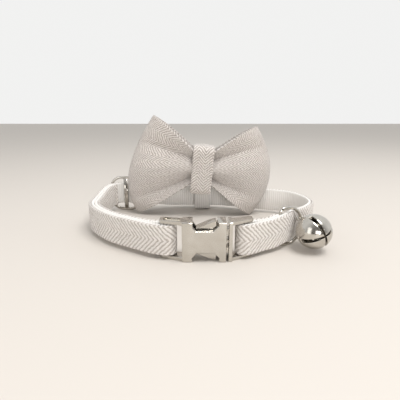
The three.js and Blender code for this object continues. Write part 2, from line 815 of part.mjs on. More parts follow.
// Keeper: a loop of flat elastic behind the knot, which the rear of the strap runs through
function addKeeper() {
  const seat = outerStation(stationNearest(bowMiddle.x, loopHalf.y));
  const front = bowMiddle.y + knotHalf.depth + clearance + sewnGap;
  const back = seat.y + strapThick / 2 + 2 * clearance + keeperWall;
  const low = strapLift - clearance - keeperWall;
  const geometry = ringBand(
    (back - front) / 2, (keeperTop - low) / 2, keeperWall, keeperWidth, keeperCorner, 4);
  const mesh = addPiece("bow_keeper", toGeometry(toSolid(geometry)), "elastic");
  mesh.position.set(bowMiddle.x, (front + back) / 2, (keeperTop + low) / 2);
}

addStrap();
addBuckleBody();
addBuckleInsert();
addSlider();
addDRing();
addBell();
addBowLoop();
addKnot();
addKeeper();

// The origin is the middle of the whole collar's base
part.updateMatrixWorld(true);
const bounds = new THREE.Box3().setFromObject(part, true);
const centre = bounds.getCenter(new THREE.Vector3());
part.position.set(-centre.x, -centre.y, -bounds.min.z);
part.updateMatrixWorld(true);

export default part;
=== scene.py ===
# Looks of a small pet collar with a bow tie. Blender 4.5, metres, +Z up, buckle towards -Y.
import json
import math

import bmesh
import bpy
from mathutils import Matrix, Vector, noise


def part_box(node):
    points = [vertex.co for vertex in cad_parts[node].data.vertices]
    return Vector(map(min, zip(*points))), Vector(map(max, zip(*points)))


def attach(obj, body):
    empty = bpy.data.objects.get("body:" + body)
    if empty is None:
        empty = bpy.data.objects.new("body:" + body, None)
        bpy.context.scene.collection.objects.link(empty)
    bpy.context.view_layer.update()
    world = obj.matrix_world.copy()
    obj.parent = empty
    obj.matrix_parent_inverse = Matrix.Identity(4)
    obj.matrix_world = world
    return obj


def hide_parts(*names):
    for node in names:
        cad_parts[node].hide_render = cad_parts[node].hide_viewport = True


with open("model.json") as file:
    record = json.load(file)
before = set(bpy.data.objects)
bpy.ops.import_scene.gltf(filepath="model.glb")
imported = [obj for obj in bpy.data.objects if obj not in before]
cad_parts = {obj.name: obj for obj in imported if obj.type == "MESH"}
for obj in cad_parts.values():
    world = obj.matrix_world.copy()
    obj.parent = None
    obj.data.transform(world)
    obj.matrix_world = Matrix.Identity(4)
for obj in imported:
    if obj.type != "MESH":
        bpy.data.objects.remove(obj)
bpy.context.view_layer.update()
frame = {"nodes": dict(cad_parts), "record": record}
MM = 0.001

# Camera
# The collar was seen from a little above its own height, close by, with a moderately wide lens.
# The focal length and the height come from lines of known direction, so they are not round.
PHOTO_PIXELS = 400
FOCAL_PIXELS = 310
HORIZON_ROW = 119
CAMERA_PLACE = Vector((-0.455, -126.886, 45.3)) * MM

camera = bpy.data.objects.new("camera", bpy.data.cameras.new("camera"))
bpy.context.scene.collection.objects.link(camera)
bpy.context.scene.camera = camera
camera.data.sensor_width = 36
camera.data.lens = camera.data.sensor_width * FOCAL_PIXELS / PHOTO_PIXELS
camera.data.clip_start = 5 * MM
camera.data.clip_end = 20
camera.location = CAMERA_PLACE
pitch = math.atan((PHOTO_PIXELS / 2 - HORIZON_ROW) / FOCAL_PIXELS)
camera.rotation_euler = (math.pi / 2 - pitch, 0, 0)


# Floor and light
# A pale studio floor of matt paint under a soft light from above and the right. A low light in
# front reaches under the bow, a strip on the left is mirrored in the bell, and the bright room
# is darker and warmer behind the camera.
def linear(hex_colour):
    channels = [int(hex_colour[start:start + 2], 16) / 255 for start in (1, 3, 5)]
    curved = [c / 12.92 if c <= 0.04045 else ((c + 0.055) / 1.055) ** 2.4 for c in channels]
    return (*curved, 1.0)


def node(tree, kind, inputs=None, **settings):
    made = tree.nodes.new("ShaderNode" + kind)
    for name, value in settings.items():
        setattr(made, name, value)
    for socket, value in (inputs or {}).items():
        if isinstance(value, bpy.types.NodeSocket):
            tree.links.new(value, made.inputs[socket])
        else:
            made.inputs[socket].default_value = value
    return made


def finish_named(name, colour, roughness, metallic=0.0):
    material = bpy.data.materials.new(name)
    material.use_nodes = True
    shader = material.node_tree.nodes["Principled BSDF"]
    shader.inputs["Base Color"].default_value = linear(colour)
    shader.inputs["Roughness"].default_value = roughness
    shader.inputs["Metallic"].default_value = metallic
    return material, material.node_tree, shader


def soft_light(name, place, target, size, power, colour):
    light = bpy.data.lights.new(name, "AREA")
    light.shape = "RECTANGLE"
    light.size, light.size_y = size
    light.energy = power
    light.color = linear(colour)[:3]
    holder = bpy.data.objects.new(name, light)
    holder.location = place
    holder.rotation_euler = (Vector(target) - Vector(place)).to_track_quat("-Z", "Y").to_euler()
    bpy.context.scene.collection.objects.link(holder)


def add_piece(name, bm, material, body="collar", smooth=True):
    mesh = bpy.data.meshes.new(name)
    bm.to_mesh(mesh)
    bm.free()
    piece = bpy.data.objects.new(name, mesh)
    bpy.context.scene.collection.objects.link(piece)
    mesh.materials.append(material)
    if smooth:
        mesh.shade_smooth()
    if body:
        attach(piece, body)
    return piece


FLOOR_REACH = 3.0
floor_mesh = bmesh.new()
bmesh.ops.create_grid(floor_mesh, x_segments=2, y_segments=2, size=FLOOR_REACH)
floor_paint = finish_named("matt floor paint", "#D2CCC5", 0.7)[0]
floor = add_piece("floor", floor_mesh, floor_paint, body=None, smooth=False)

# Each light: its place, where it points, its size in metres, its power in watts and its colour
soft_light("window", (0.16, -0.14, 0.5), (0.0, 0.0, 0.015), (0.26, 0.26), 1.95, "#FFFDFB")
soft_light("low front", (0.1, -0.5, 0.11), (0.0, 0.0, 0.01), (0.2, 0.09), 0.9, "#FFFDFC")
soft_light("left strip", (-0.27, -0.29, 0.13), (0.0, -0.03, 0.01), (0.16, 0.3), 0.25, "#FFFDFA")

room = bpy.data.worlds.new("bright room")
bpy.context.scene.world = room
room.use_nodes = True
room_tree = room.node_tree
direction = node(room_tree, "TexCoord").outputs["Generated"]
toward = node(room_tree, "SeparateXYZ", {0: direction}).outputs
behind_camera = node(room_tree, "MapRange", {
    "Value": toward["Y"], "From Min": -1.0, "From Max": 0.1, "To Min": 0.0, "To Max": 1.0,
}, interpolation_type="SMOOTHSTEP").outputs["Result"]
walls = node(room_tree, "Mix", {
    "Factor": behind_camera, "A": linear("#57524E"), "B": linear("#FDFDFC"),
}, data_type="RGBA").outputs["Result"]
room_tree.links.new(walls, room_tree.nodes["Background"].inputs["Color"])
ROOM_BRIGHTNESS = 0.9
room_tree.nodes["Background"].inputs["Strength"].default_value = ROOM_BRIGHTNESS
bpy.context.scene.view_settings.view_transform = "Standard"


# Webbing
# White 10 mm polyester webbing, one ribbon folded round both strap bars and sewn to its cover.
# It is woven flat with fine upright ribs, and only its inner face and its edges show.
LOW_RIM = 5 * MM


def standing_outline(node_name):
    """The outline of a standing ribbon, in order, as (low point, high point) pairs.

    Its upright edges are longer than LOW_RIM, and a face of its side rises by more than that."""
    source = bmesh.new()
    source.from_mesh(frame["nodes"][node_name].data)
    bmesh.ops.remove_doubles(source, verts=source.verts, dist=0.002 * MM)
    highest = {}
    for edge in source.edges:
        low, high = sorted(edge.verts, key=lambda vert: vert.co.z)
        if (high.co - low.co).xy.length < 0.01 * MM and (high.co - low.co).z > LOW_RIM:
            highest[low] = high
    beside = {low: [] for low in highest}
    for edge in source.edges:
        first, second = edge.verts
        upright = [max(vert.co.z for vert in face.verts) - first.co.z > LOW_RIM
                   for face in edge.link_faces]
        if first in highest and second in highest and sum(upright) == 1:
            beside[first].append(second)
            beside[second].append(first)
    here = next(iter(highest))
    before = None
    outline = []
    while not outline or here != outline[0]:
        outline.append(here)
        before, here = here, next(near for near in beside[here] if near != before)
    pairs = [(low.co.copy(), highest[low].co.copy()) for low in outline]
    source.free()
    return pairs


def ribbon_route(node_name, thick):
    """Centre line of a ribbon: a list of (middle of its low edge, outward side, height)."""
    outline = standing_outline(node_name)
    count = len(outline) // 2

    def width(index):
        nearby = outline[(index + 1) % len(outline)][0]
        return (outline[index % len(outline)][0] - nearby).xy.length

    def misfit(index):
        return abs(width(index) - thick) + abs(width(index + count) - thick)

    cap = min(range(count), key=misfit)
    turned = outline[cap + 1:] + outline[:cap + 1]
    near, far = turned[:count], turned[count:][::-1]
    middle = count // 2
    if near[middle][0].xy.length > far[middle][0].xy.length:
        near, far = far, near
    if near[0][0].x > near[-1][0].x:
        near, far = near[::-1], far[::-1]
    route = []
    for inner, outer in zip(near, far):
        side = (outer[0] - inner[0]).normalized()
        route.append(((inner[0] + outer[0]) / 2, side, outer[1].z - outer[0].z))
    return route


def run_lengths(points):
    lengths = [0.0]
    for before, after in zip(points, points[1:]):
        lengths.append(lengths[-1] + (after - before).length)
    return lengths


def smooth_run(points, lengths, at):
    """Point and direction on a smooth line through the points, at a length along them."""
    index = 0
    low, high = 0, len(points) - 2
    while low <= high:
        index = (low + high) // 2
        if lengths[index + 1] < at:
            low = index + 1
        elif lengths[index] > at:
            high = index - 1
        else:
            break

    def slope(place):
        first, last = max(place - 1, 0), min(place + 1, len(points) - 1)
        return (points[last] - points[first]) / (lengths[last] - lengths[first])

    span = lengths[index + 1] - lengths[index]
    share = (at - lengths[index]) / span
    start, end = points[index], points[index + 1]
    lead, trail = slope(index) * span, slope(index + 1) * span
    point = (start * (2 * share ** 3 - 3 * share ** 2 + 1)
             + lead * (share ** 3 - 2 * share ** 2 + share)
             + end * (3 * share ** 2 - 2 * share ** 3)
             + trail * (share ** 3 - share ** 2))
    heading = (start * (6 * share ** 2 - 6 * share)
               + lead * (3 * share ** 2 - 4 * share + 1)
               + end * (6 * share - 6 * share ** 2)
               + trail * (3 * share ** 2 - 2 * share))
    return point, heading.normalized()


def laid_grid(columns, rows, place, pattern_mm, fill_ends=False):
    """A grid laid on a surface. Its pattern map is in millimetres and its seams are merged."""
    bm = bmesh.new()
    bmesh.ops.create_grid(bm, x_segments=columns, y_segments=rows, size=0.5)
    pattern = bm.loops.layers.uv.new("pattern")
    shares = {vert: (vert.co.x + 0.5, vert.co.y + 0.5) for vert in bm.verts}
    for face in bm.faces:
        for loop in face.loops:
            along, across = shares[loop.vert]
            loop[pattern].uv = (along * pattern_mm[0], (across - 0.5) * pattern_mm[1])
    for vert, (along, across) in shares.items():
        vert.co = place(along, across)
    bmesh.ops.remove_doubles(bm, verts=bm.verts, dist=0.004 * MM)
    if fill_ends:
        rims = [edge for edge in bm.edges if edge.is_boundary]
        bmesh.ops.holes_fill(bm, edges=rims, sides=0)
    bmesh.ops.recalc_face_normals(bm, faces=bm.faces)
    return bm


def flat_section(share, half_thick, half_high):
    """Outline of a flat ribbon's section, from the middle of its outer face and round."""
    corner = 0.8 * half_thick
    flat_high, flat_thick = half_high - corner, half_thick - corner
    turn = corner * math.pi / 2
    quarter = [flat_high, turn, 2 * flat_thick, turn, 2 * flat_high, turn, 2 * flat_thick, turn,
               flat_high]
    left = (share % 1.0) * sum(quarter)
    corners = [(flat_thick, flat_high, 0), (-flat_thick, flat_high, 90),
               (-flat_thick, -flat_high, 180), (flat_thick, -flat_high, 270)]
    for index, length in enumerate(quarter):
        if left <= length or index == len(quarter) - 1:
            break
        left -= length
    if index % 2:
        out, up, start = corners[index // 2]
        angle = math.radians(start) + left / corner
        return out + corner * math.cos(angle), up + corner * math.sin(angle)
    if index == 0:
        return half_thick, left
    if index == 8:
        return half_thick, left - flat_high
    if index == 4:
        return -half_thick, flat_high - left
    return (flat_thick - left, half_high) if index == 2 else (left - flat_thick, -half_high)


def ribbon(route, thick, step, rows, relief):
    """A standing ribbon along a route. relief(along, across) moves its skin outwards, in mm."""
    middles = [Vector((low.x, low.y, low.z + high / 2)) for low, side, high in route]
    lengths = run_lengths(middles)
    half_high = route[0][2] / 2
    total = lengths[-1]
    girth = (4 * half_high + 2 * thick) / MM
    section = [flat_section(row / rows, thick / 2, half_high) for row in range(rows)]
    columns = round(total / step)
    stations = {}

    def place(along, across):
        column = round(along * columns)
        if column not in stations:
            point, heading = smooth_run(middles, lengths, min(along * total, total))
            side = Vector((heading.y, -heading.x, 0)).normalized()
            index = min(range(len(route)), key=lambda near: abs(lengths[near] - along * total))
            if side.dot(route[index][1]) < 0:
                side = -side
            stations[column] = (point, side)
        point, side = stations[column]
        row = round((across + 0.5) * rows) % rows
        out, up = section[row]
        puff = relief(along * total / MM, (across - 0.5) * girth) * MM
        away = Vector((out / thick * 2, up / half_high * abs(up / half_high) ** 8))
        away = away.normalized() if away.length > 0 else away
        return point + side * (out + puff * away.x) + Vector((0, 0, up + puff * away.y))

    return laid_grid(columns, rows, place, (total / MM, girth), fill_ends=True), total


WEBBING_THICK = 1.0 * MM
WEBBING_STEP = 0.25 * MM
WEBBING_ROWS = 40
RIB_PITCH = 1.0
RIB_HEIGHT = 0.05
YARN_PITCH = 0.55
webbing_route = ribbon_route("strap_webbing", WEBBING_THICK)


def webbing_relief(along, across):
    """Upright ribs, twice as high where they turn round the webbing's two edges."""
    edge = abs(abs(across) - 5.6) < 0.9
    rib = math.cos(2 * math.pi * along / RIB_PITCH)
    return (2 if edge else 1) * RIB_HEIGHT * rib


white_webbing, tree, shader = finish_named("woven polyester webbing", "#E9E5E0", 0.9)
shader.inputs["Sheen Weight"].default_value = 0.2
shader.inputs["Specular IOR Level"].default_value = 0.3
pattern = node(tree, "UVMap", uv_map="pattern").outputs["UV"]
# Upright ribs of 1 mm with two crossing yarns to each rib
along = node(tree, "SeparateXYZ", {0: pattern}).outputs
rib = node(tree, "Math", {0: node(tree, "Math", {0: along["X"], 1: 2 * math.pi / RIB_PITCH},
                                  operation="MULTIPLY").outputs[0]}, operation="COSINE").outputs[0]
yarn = node(tree, "Math", {0: node(tree, "Math", {0: along["Y"], 1: 2 * math.pi / YARN_PITCH},
                                   operation="MULTIPLY").outputs[0]}, operation="COSINE").outputs[0]
woven = node(tree, "Math", {0: yarn, 1: 0.45, 2: rib}, operation="MULTIPLY_ADD").outputs[0]
fuzz = node(tree, "TexNoise", {"Vector": pattern, "Scale": 2.2, "Detail": 5.0}).outputs[0]
height = node(tree, "Math", {0: fuzz, 1: 1.2, 2: woven}, operation="MULTIPLY_ADD").outputs[0]
bump = node(tree, "Bump", {"Height": height, "Strength": 0.5, "Distance": 0.08 * MM})
tree.links.new(bump.outputs[0], shader.inputs["Normal"])
tone = node(tree, "MapRange", {"Value": height, "From Min": -1.2, "From Max": 2.2}).outputs[0]
shade = node(tree, "Mix", {"Factor": tone, "A": linear("#DEDBD6"), "B": linear("#F5F3F0")},
             data_type="RGBA").outputs["Result"]
tree.links.new(shade, shader.inputs["Base Color"])

webbing_mesh, webbing_run = ribbon(webbing_route, WEBBING_THICK, WEBBING_STEP, WEBBING_ROWS,
                                   webbing_relief)
webbing = add_piece("webbing", webbing_mesh, white_webbing)
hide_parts("strap_webbing")


# Cloth cover
# Off-white brushed herringbone, wrapped over the outer face of the webbing and sewn down.
# The chunky chevrons have one apex line in the middle of the strap and point to the right.
COVER_THICK = 1.0 * MM
COVER_STEP = 0.3 * MM
COVER_ROWS = 56
cover_route = ribbon_route("strap_cover", COVER_THICK)


def brushed_herringbone(name, light, dark, column, pitch, slope, offset=0.0):
    """Brushed twill in chevrons: sizes in mm on the pattern map, X along and Y across.

    The pitch is taken along X. Straight across the strokes it is about 0.7 of that, close to
    the 1 mm of the real ones. The fibres fray them, and the brushed surface has no shine."""
    material, tree, shader = finish_named(name, light, 0.95)
    shader.inputs["Sheen Weight"].default_value = 0.35
    shader.inputs["Sheen Roughness"].default_value = 0.6
    shader.inputs["Specular IOR Level"].default_value = 0.2
    pattern = node(tree, "UVMap", uv_map="pattern").outputs["UV"]
    wander = node(tree, "TexNoise", {"Vector": pattern, "Scale": 0.9,
                                     "Detail": 2.0}).outputs["Color"]
    wandered = node(tree, "VectorMath", {
        0: wander, 1: (0.5, 0.5, 0.5)}, operation="SUBTRACT").outputs[0]
    shifted = node(tree, "VectorMath", {0: wandered, 1: (0.8, 0.8, 0.0), 2: pattern},
                   operation="MULTIPLY_ADD").outputs[0]
    axes = node(tree, "SeparateXYZ", {0: shifted}).outputs
    moved = node(tree, "Math", {0: axes["Y"], 1: offset}, operation="ADD").outputs[0]
    zig = node(tree, "Math", {0: moved, 1: column}, operation="PINGPONG").outputs[0]
    slanted = node(tree, "Math", {0: zig, 1: -slope, 2: axes["X"]},
                   operation="MULTIPLY_ADD").outputs[0]
    turns = node(tree, "Math", {0: slanted, 1: 2 * math.pi / pitch},
                 operation="MULTIPLY").outputs[0]
    stroke = node(tree, "Math", {0: turns}, operation="COSINE").outputs[0]
    fibre = node(tree, "TexNoise", {"Vector": pattern, "Scale": 2.4, "Detail": 7.0,
                                    "Roughness": 0.85}).outputs[0]
    height = node(tree, "Math", {0: fibre, 1: 3.2, 2: stroke}, operation="MULTIPLY_ADD").outputs[0]
    bump = node(tree, "Bump", {"Height": height, "Strength": 0.75, "Distance": 0.16 * MM})
    tree.links.new(bump.outputs[0], shader.inputs["Normal"])
    tone = node(tree, "MapRange", {"Value": height, "From Min": 0.2, "From Max": 2.2},
                interpolation_type="SMOOTHSTEP").outputs[0]
    shade = node(tree, "Mix", {"Factor": tone, "A": linear(dark), "B": linear(light)},
                 data_type="RGBA").outputs["Result"]
    tree.links.new(shade, shader.inputs["Base Color"])
    return material


def cover_relief(along, across):
    """A brushed outer face. The inner face, which lies on the webbing, stays flat."""
    outer = min(max((7.0 - abs(across)) / 1.5, 0.0), 1.0)
    wave = 0.10 * noise.noise(Vector((along * 0.12, across * 0.1, 3.0)))
    fibres = 0.12 * noise.noise(Vector((along * 1.1, across * 1.1, 7.0)))
    crown = 0.10 * math.cos(min(abs(across), 5.25) / 5.25 * math.pi / 2)
    return (wave + fibres + crown - 0.05) * outer


strap_cloth = brushed_herringbone("brushed herringbone strap cloth", "#E8E3DE", "#ADA49B",
                                  column=5.0, pitch=1.6, slope=0.95)
cover_mesh, cover_run = ribbon(cover_route, COVER_THICK, COVER_STEP, COVER_ROWS, cover_relief)
cover = add_piece("cloth_cover", cover_mesh, strap_cloth)
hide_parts("strap_cover")


# Side-release buckle
# Zinc casting, tumbled and nickel plated to a bright polish, in two parts that snap together.
# The body has the plain H-shaped face, and the insert has the press tabs.
nickel, tree, shader = finish_named("polished nickel plate", "#C9C5BE", 0.15, metallic=1.0)
spot = node(tree, "TexCoord").outputs["Object"]
# Faint polishing haze in patches of about 3 mm, and waves that soften the reflections
haze = node(tree, "TexNoise", {"Vector": spot, "Scale": 330.0, "Detail": 3.0}).outputs[0]
gloss = node(tree, "MapRange", {"Value": haze, "From Min": 0.3, "From Max": 0.75,
                                "To Min": 0.1, "To Max": 0.26}).outputs[0]
tree.links.new(gloss, shader.inputs["Roughness"])
waves = node(tree, "TexNoise", {"Vector": spot, "Scale": 700.0, "Detail": 2.0}).outputs[0]
bump = node(tree, "Bump", {"Height": waves, "Strength": 0.04, "Distance": 0.1 * MM})
tree.links.new(bump.outputs[0], shader.inputs["Normal"])
tint = node(tree, "Mix", {"Factor": haze, "A": linear("#BDB8AF"), "B": linear("#D3D0CA")},
            data_type="RGBA").outputs["Result"]
tree.links.new(tint, shader.inputs["Base Color"])


def cast_piece(name, node_name, edge):
    """A casting: the node's own faces with their small edges rounded."""
    bm = bmesh.new()
    bm.from_mesh(frame["nodes"][node_name].data)
    bmesh.ops.remove_doubles(bm, verts=bm.verts, dist=0.002 * MM)
    bmesh.ops.dissolve_limit(bm, angle_limit=math.radians(1.0), verts=bm.verts, edges=bm.edges)
    piece = add_piece(name, bm, nickel)
    rounding = piece.modifiers.new("rounded edges", "BEVEL")
    rounding.width = edge
    rounding.segments = 3
    rounding.limit_method = "ANGLE"
    rounding.angle_limit = math.radians(32)
    rounding.harden_normals = True
    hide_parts(node_name)
    return piece


BODY_EDGE = 0.16 * MM
INSERT_EDGE = 0.14 * MM
cast_piece("buckle_face_and_arms", "buckle_body", BODY_EDGE)
cast_piece("buckle_insert_and_tabs", "buckle_insert", INSERT_EDGE)


# Slider
# Die-cast nickel frame with round corners and an upright centre bar, woven into the strap.
# The centre bar is flat and wider than the rails.
def wire_loop(points, half_wide, half_thick, thick_side, around, columns):
    """A closed wire through the points; thick_side is the direction of its thickness."""
    closed = points + [points[0]]
    padded = [points[-2], points[-1]] + closed + [points[1], points[2]]
    lengths = run_lengths(padded)
    first, total = lengths[2], lengths[2 + len(points)] - lengths[2]

    def place(along, across):
        point, heading = smooth_run(padded, lengths, first + along * total)
        wide = heading.cross(thick_side).normalized()
        angle = 2 * math.pi * across
        return (point + wide * half_wide * math.cos(angle)
                + thick_side * half_thick * math.sin(angle))

    return laid_grid(columns, around, place, (total / MM, 2 * math.pi * half_wide / MM))


def rounded_frame(half_long, half_high, corner, steps=8):
    points = []
    for index, (across, up) in enumerate([(1, 1), (-1, 1), (-1, -1), (1, -1)]):
        for step in range(steps + 1):
            angle = math.pi / 2 * (index + step / steps)
            points.append(((half_long - corner) * across + corner * math.cos(angle),
                           (half_high - corner) * up + corner * math.sin(angle)))
    return points


SLIDER_LENGTH = 16.2 * MM
SLIDER_HEIGHT = 17.4 * MM
SLIDER_RAIL = 1.2 * MM
SLIDER_CORNER = 6.19 * MM
SLIDER_TURN = -5
CENTRE_BAR_WIDE = 2.0 * MM
CENTRE_BAR_THICK = 1.0 * MM
CENTRE_BAR_ROUNDING = 0.42 * MM
slider_low, slider_high = (Vector(corner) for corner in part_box("slider"))
slider_middle = (slider_low + slider_high) / 2
slider_turn = Matrix.Rotation(math.radians(SLIDER_TURN), 3, "Z")
slider_out = slider_turn @ Vector((0, 1, 0))
outline = rounded_frame((SLIDER_LENGTH - SLIDER_RAIL) / 2, (SLIDER_HEIGHT - SLIDER_RAIL) / 2,
                        SLIDER_CORNER - SLIDER_RAIL / 2)
slider_points = [slider_middle + slider_turn @ Vector((x, 0, z)) for x, z in outline]
slider_mesh = wire_loop(slider_points, 0.68 * MM, 0.6 * MM, slider_out, 18, 140)
bar_made = bmesh.ops.create_cube(slider_mesh, size=1.0)["verts"]
bmesh.ops.scale(slider_mesh, verts=bar_made,
                vec=(CENTRE_BAR_WIDE, CENTRE_BAR_THICK, SLIDER_HEIGHT - SLIDER_RAIL))
bmesh.ops.rotate(slider_mesh, matrix=slider_turn, verts=bar_made)
bmesh.ops.translate(slider_mesh, vec=slider_middle, verts=bar_made)
bar_edges = list({edge for vert in bar_made for edge in vert.link_edges
                  if abs(edge.verts[0].co.z - edge.verts[1].co.z) > SLIDER_HEIGHT / 2})
bmesh.ops.bevel(slider_mesh, geom=bar_edges, offset=CENTRE_BAR_ROUNDING, segments=4, profile=0.5,
                affect="EDGES", material=-1)
slider = add_piece("slider_frame", slider_mesh, nickel)
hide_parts("slider")


# D-ring
# Round nickel-plated steel wire, bent to a D. Its straight side stands behind the outer layer,
# and the bow of the D is swung over to the right.
joint_place = Vector(frame["record"]["behaviour"]["joints"][0]["pos_m"])
ring_corners = [vert.co for vert in frame["nodes"]["d_ring"].data.vertices]
ring_far = max(ring_corners, key=lambda place: (place - joint_place).xy.length)
RING_WIRE = 1.2 * MM
RING_REACH = 9.2 * MM
RING_HALF_HIGH = 6.85 * MM
RING_SHOULDER = 0.42 * RING_REACH
RING_CORNER = 1.6 * MM
heading_points = [place for place in ring_corners
                  if (place - joint_place).xy.length > 0.97 * (ring_far - joint_place).xy.length]
ring_heading = sum(((place - joint_place).xy for place in heading_points), Vector((0, 0)))
ring_heading = Vector((ring_heading.x, ring_heading.y, 0)).normalized()
ring_side = Vector((-ring_heading.y, ring_heading.x, 0))
profile = []
for step in range(25):
    angle = -math.pi / 2 + math.pi * step / 24
    profile.append((RING_SHOULDER + (RING_REACH - RING_SHOULDER) * math.cos(angle),
                    RING_HALF_HIGH * math.sin(angle)))
for step in range(7):
    angle = math.pi / 2 + math.pi / 2 * step / 6
    profile.append((RING_CORNER + RING_CORNER * math.cos(angle),
                    RING_HALF_HIGH - RING_CORNER + RING_CORNER * math.sin(angle)))
profile += [(0, 0.33 * (RING_HALF_HIGH - RING_CORNER) * up) for up in (2, 1, 0, -1, -2)]
for step in range(7):
    angle = math.pi + math.pi / 2 * step / 6
    profile.append((RING_CORNER + RING_CORNER * math.cos(angle),
                    -RING_HALF_HIGH + RING_CORNER + RING_CORNER * math.sin(angle)))
ring_points = [joint_place + ring_heading * away + Vector((0, 0, up)) for away, up in profile]
ring_mesh = wire_loop(ring_points, RING_WIRE / 2, RING_WIRE / 2, ring_side, 20, 170)
d_ring = add_piece("d_ring_wire", ring_mesh, nickel, body="d_ring_and_bell")
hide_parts("d_ring")


# Bell
# Ball of drawn sheet steel, nickel plated, with two crossed slits that leave four petals.
# A wire eye holds it on the D-ring, and a loose steel pellet inside makes the sound.
BELL_RADIUS = 6.15 * MM
BELL_WALL = 0.8 * MM
PELLET_SEAT = 3.05 * MM
SLIT_MOUTH_HALF = 0.3 * MM
SLIT_END_HALF = 0.9 * MM
SLIT_REACH = 1.2 * BELL_RADIUS
SLIT_FLOOR = 0.14
pellet_low, pellet_high = (Vector(corner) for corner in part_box("bell_pellet"))
pellet_middle = (pellet_low + pellet_high) / 2
bell_middle = pellet_middle - PELLET_SEAT * Vector((0.15, -0.2, -0.92))
mouth = Vector((0.29, -0.955, 0.07)).normalized()
slit_line = Vector((-0.4, -0.05, 0.91))
slit_line = (slit_line - mouth * slit_line.dot(mouth)).normalized()
slit_across = mouth.cross(slit_line)
PETAL_COLUMNS = 14
SLIT_COLUMNS = 4
QUARTER = PETAL_COLUMNS + SLIT_COLUMNS
BELL_ROWS = 48
slit_end = math.acos(SLIT_FLOOR)
mouth_start = math.asin(SLIT_MOUTH_HALF * math.sqrt(2) * 1.06 / BELL_RADIUS)


def bell_angle(share):
    return mouth_start + (math.pi - mouth_start) * share


def slit_half_angle(away):
    radius = BELL_RADIUS * math.sin(away)
    if away >= math.pi / 2:
        radius = BELL_RADIUS
    half = SLIT_MOUTH_HALF + (SLIT_END_HALF - SLIT_MOUTH_HALF) * radius / SLIT_REACH
    return math.asin(min(half / max(radius, half), math.sin(math.pi / 4)))


def bell_point(around, share):
    away = bell_angle(share)
    quarter, column = divmod(around * 4 * QUARTER, QUARTER)
    half = slit_half_angle(away)
    if column <= SLIT_COLUMNS:
        azimuth = -half + 2 * half * column / SLIT_COLUMNS
    else:
        azimuth = half + (math.pi / 2 - 2 * half) * (column - SLIT_COLUMNS) / PETAL_COLUMNS
    azimuth += quarter * math.pi / 2
    level = slit_line * math.cos(azimuth) + slit_across * math.sin(azimuth)
    return bell_middle + BELL_RADIUS * (mouth * math.cos(away) + level * math.sin(away))


bell_mesh = bmesh.new()
bmesh.ops.create_grid(bell_mesh, x_segments=4 * QUARTER, y_segments=BELL_ROWS, size=0.5)
slit_faces = []
for face in bell_mesh.faces:
    centre = face.calc_center_median()
    column = ((centre.x + 0.5) * 4 * QUARTER) % QUARTER
    if column < SLIT_COLUMNS and bell_angle(centre.y + 0.5) < slit_end:
        slit_faces.append(face)
for vert in bell_mesh.verts:
    vert.co = bell_point(vert.co.x + 0.5, vert.co.y + 0.5)
bmesh.ops.delete(bell_mesh, geom=slit_faces, context="FACES")
bmesh.ops.remove_doubles(bell_mesh, verts=bell_mesh.verts, dist=0.02 * MM)
bmesh.ops.recalc_face_normals(bell_mesh, faces=bell_mesh.faces)
if sum(face.normal.dot(face.calc_center_median() - bell_middle) for face in bell_mesh.faces) < 0:
    bmesh.ops.reverse_faces(bell_mesh, faces=bell_mesh.faces)
bell = add_piece("bell_ball", bell_mesh, nickel, body="d_ring_and_bell")
wall = bell.modifiers.new("sheet thickness", "SOLIDIFY")
wall.thickness = BELL_WALL
wall.offset = -1
rolled = bell.modifiers.new("rolled slit edges", "BEVEL")
rolled.width = 0.14 * MM
rolled.segments = 2
rolled.limit_method = "ANGLE"
rolled.angle_limit = math.radians(50)

EYE_RADIUS = 1.5 * MM
EYE_WIRE = 0.35 * MM
EYE_SHARE = 0.3
eye_away = RING_SHOULDER + (RING_REACH - RING_SHOULDER) * math.sqrt(1 - EYE_SHARE ** 2)
eye_middle = joint_place + ring_heading * eye_away + Vector((0, 0, EYE_SHARE * RING_HALF_HIGH))
to_eye = (eye_middle - bell_middle).normalized()
eye_axis = (Vector((0, 0, 1)) - to_eye * to_eye.z).normalized()
eye_level = eye_axis.cross(to_eye)
eye_points = []
for step in range(28):
    angle = 2 * math.pi * step / 28
    eye_points.append(eye_middle + EYE_RADIUS * (to_eye * math.cos(angle)
                                                 + eye_level * math.sin(angle)))
eye_mesh = wire_loop(eye_points, EYE_WIRE, EYE_WIRE, eye_axis, 12, 56)
eye = add_piece("bell_eye", eye_mesh, nickel, body="d_ring_and_bell")
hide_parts("bell")

PELLET_RADIUS = 2.0 * MM
pellet_mesh = bmesh.new()
bmesh.ops.create_icosphere(pellet_mesh, subdivisions=4, radius=PELLET_RADIUS,
                           matrix=Matrix.Translation(pellet_middle))
pellet = add_piece("bell_pellet_ball", pellet_mesh, nickel, body="d_ring_and_bell")
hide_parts("bell_pellet")


# Bow
# One loop of beige-grey brushed herringbone, pressed flat with a fold at each end and gathered
# in the middle. Two valleys run out of the knot on each wing and fade along it, the upper ones
# later. A wing is given by its corners and the middle of its end, in half widths and heights.
BOW_HALF_WIDE = 35.0 * MM
BOW_HALF_HIGH = 24.3 * MM
PINCH_TOP = 8.9 * MM
PINCH_BOTTOM = 6.3 * MM
PINCH_HALF_THICK = 3.7 * MM
BOW_FULLNESS = 5.0 * MM
BOW_CLOTH_THICK = 1.1 * MM
VALLEY_HEIGHT = 0.6
VALLEY_DEPTH = 0.82 * BOW_FULLNESS
BOW_TURN = -2
BOW_TILT = 5
KNOT_WIDTH = 9.6 * MM
WINGS = {
    -1: {"top": (-0.703, 0.932), "reach": (-1.004, -0.208), "bottom": (-0.847, -1.0)},
    1: {"top": (0.655, 0.904), "reach": (0.912, 0.028), "bottom": (0.717, -0.832)},
}
knot_low, knot_high = (Vector(corner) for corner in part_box("bow_knot"))
bow_middle = (knot_low + knot_high) / 2
